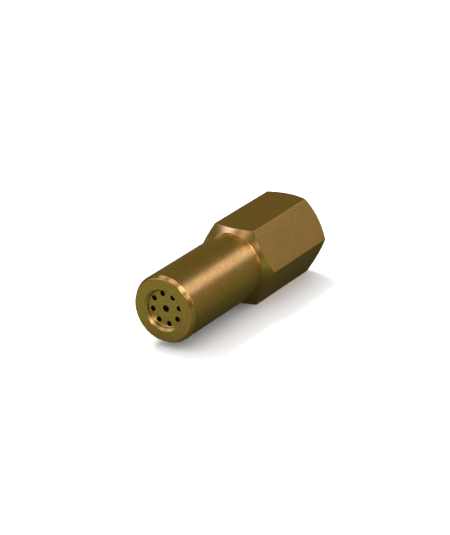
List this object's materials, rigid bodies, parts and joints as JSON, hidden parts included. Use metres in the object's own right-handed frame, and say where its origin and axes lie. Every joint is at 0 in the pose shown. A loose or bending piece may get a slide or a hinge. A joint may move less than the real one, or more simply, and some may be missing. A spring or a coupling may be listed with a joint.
{
  "type": "oil burner nozzle",
  "caption": "Brass burner nozzle: hexagon body with a female pipe-thread inlet, a round nose with small jets in a recessed face, swirl plates and a screw-in strainer inside.",
  "frame": {"origin": "centre of the inlet thread's mouth, on the nozzle's axis", "axes": "+Y out of the inlet along the axis, so the nose points to -Y; +Z square to the upper flat of the hexagon"},
  "size_m": [0.022, 0.0546, 0.019],
  "materials": {
    "body_brass": "fine turned, bright flats",
    "tip_brass": "fine turned",
    "inner_brass": "turned",
    "band_brass": "drawn",
    "seal_copper": "soft annealed copper",
    "plate_steel": "lapped",
    "pin_steel": "ground",
    "tube_steel": "drawn, perforated",
    "mesh_bronze": "woven wire gauze"
  },
  "bodies": {
    "root": {"nozzle_body": "body_brass", "tip_seal": "seal_copper", "orifice_plate": "tip_brass", "swirl_plate": "plate_steel", "distributor": "plate_steel", "index_pin": "pin_steel", "lock_screw": "inner_brass", "strainer_base": "inner_brass", "strainer_tube": "tube_steel", "strainer_mesh": "mesh_bronze", "strainer_bands": "band_brass", "strainer_cap": "inner_brass"}
  },
  "joints": []
}
